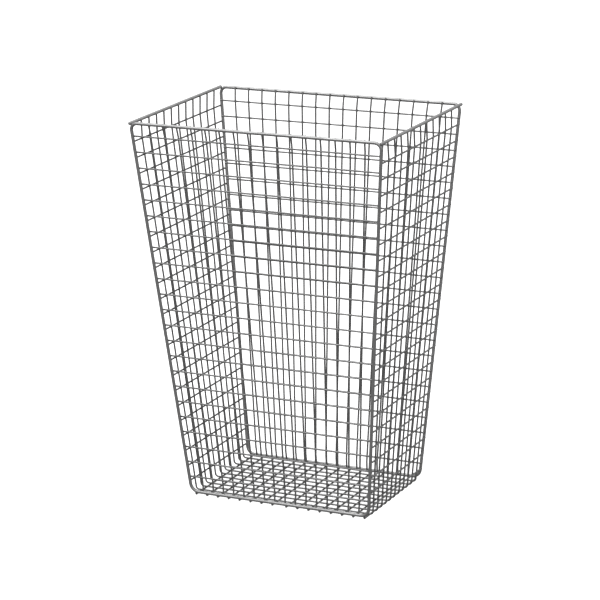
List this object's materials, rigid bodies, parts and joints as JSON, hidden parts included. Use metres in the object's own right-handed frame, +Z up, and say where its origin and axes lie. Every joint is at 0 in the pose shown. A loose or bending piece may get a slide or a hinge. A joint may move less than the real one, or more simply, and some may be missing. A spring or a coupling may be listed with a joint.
{
  "type": "wire mesh container",
  "caption": "Open-topped tapering basket of welded steel wire mesh, with thick frame wires round the front, the back and the rim, standing on the wires of its floor.",
  "frame": {"origin": "middle of the footprint, on the plane the floor's cross wires rest on", "axes": "+X to the container's right along its long sides, +Y towards its back, +Z up out of the open top"},
  "size_m": [0.4242, 0.2994, 0.6074],
  "materials": {
    "wire": "bright zinc-plated drawn wire, satin with soft highlights, slightly darker at the welds",
    "rim_rod": "bright zinc-plated drawn rod, satin with soft highlights, sheared ends"
  },
  "bodies": {
    "root": {"front_panel_frame": "wire", "back_panel_frame": "wire", "front_upright_01": "wire", "front_upright_02": "wire", "front_upright_03": "wire", "front_upright_04": "wire", "front_upright_05": "wire", "front_upright_06": "wire", "front_upright_07": "wire", "front_upright_08": "wire", "front_upright_09": "wire", "front_upright_10": "wire", "front_upright_11": "wire", "front_upright_12": "wire", "front_upright_13": "wire", "front_upright_14": "wire", "front_upright_15": "wire", "front_upright_16": "wire", "back_upright_01": "wire", "back_upright_02": "wire", "back_upright_03": "wire", "back_upright_04": "wire", "back_upright_05": "wire", "back_upright_06": "wire", "back_upright_07": "wire", "back_upright_08": "wire", "back_upright_09": "wire", "back_upright_10": "wire", "back_upright_11": "wire", "back_upright_12": "wire", "back_upright_13": "wire", "back_upright_14": "wire", "back_upright_15": "wire", "back_upright_16": "wire", "left_rim_rod": "rim_rod", "right_rim_rod": "rim_rod", "side_and_floor_cradle": "wire", "long_wire_02": "wire", "long_wire_03": "wire", "long_wire_04": "wire", "long_wire_05": "wire", "long_wire_06": "wire", "long_wire_07": "wire", "long_wire_08": "wire", "long_wire_09": "wire", "long_wire_10": "wire"}
  },
  "joints": []
}
